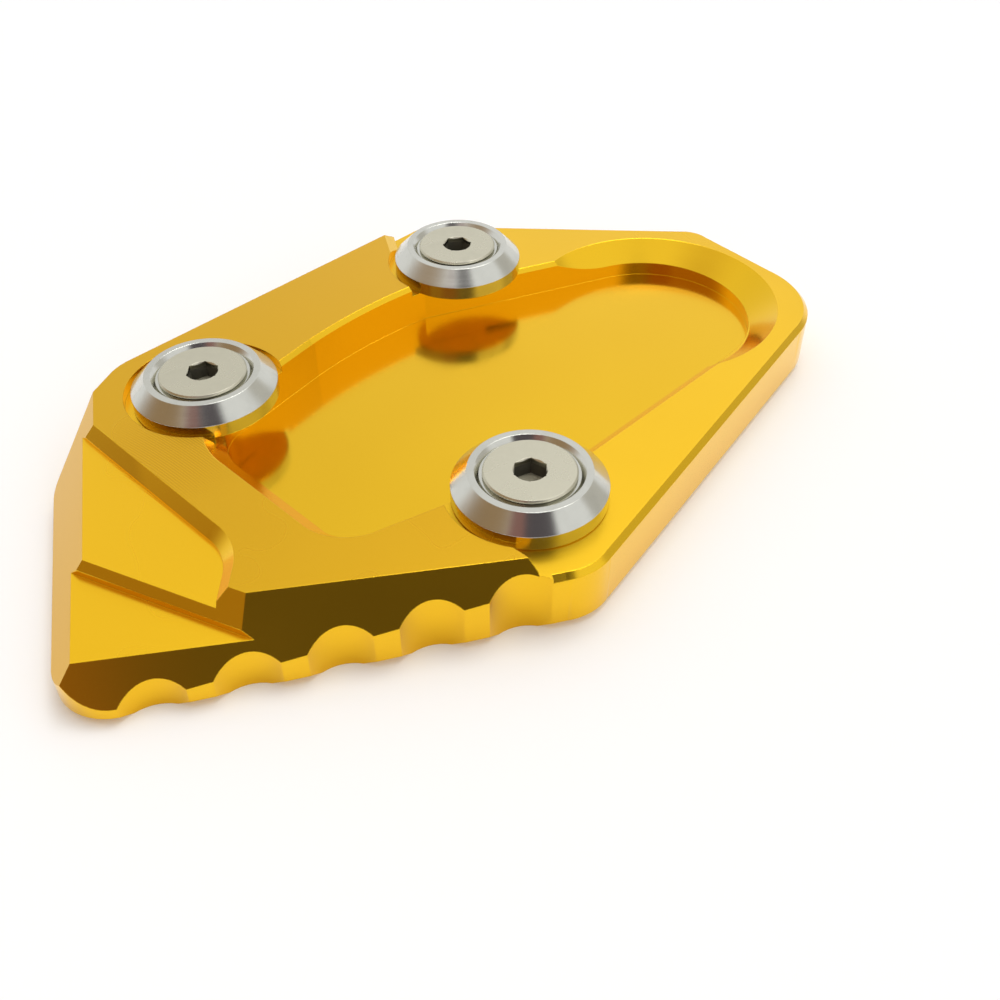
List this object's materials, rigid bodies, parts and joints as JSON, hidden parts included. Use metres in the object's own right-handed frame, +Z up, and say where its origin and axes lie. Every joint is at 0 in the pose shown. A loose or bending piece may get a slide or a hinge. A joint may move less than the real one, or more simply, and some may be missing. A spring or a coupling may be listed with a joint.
{
  "type": "kickstand foot enlarger",
  "caption": "Machined side stand foot plate with a stepped, bevelled and scalloped edge, a rounded pocket, and bevelled clamp washers held by countersunk hexagon socket screws.",
  "frame": {"origin": "centre of the plate's outline on its underside", "axes": "+X along the scalloped front wall towards the pocket's round end, +Y from the scalloped wall to the back corner, +Z up out of the pocket"},
  "size_m": [0.1146, 0.0862, 0.013],
  "materials": {
    "gold_anodised": "satin gold anodised, milled",
    "washer_silver": "turned and polished",
    "screw_steel": "satin stainless steel"
  },
  "bodies": {
    "root": {"foot_plate": "gold_anodised", "washer_1": "washer_silver", "washer_2": "washer_silver", "washer_3": "washer_silver", "screw_1": "screw_steel", "screw_2": "screw_steel", "screw_3": "screw_steel"}
  },
  "joints": []
}
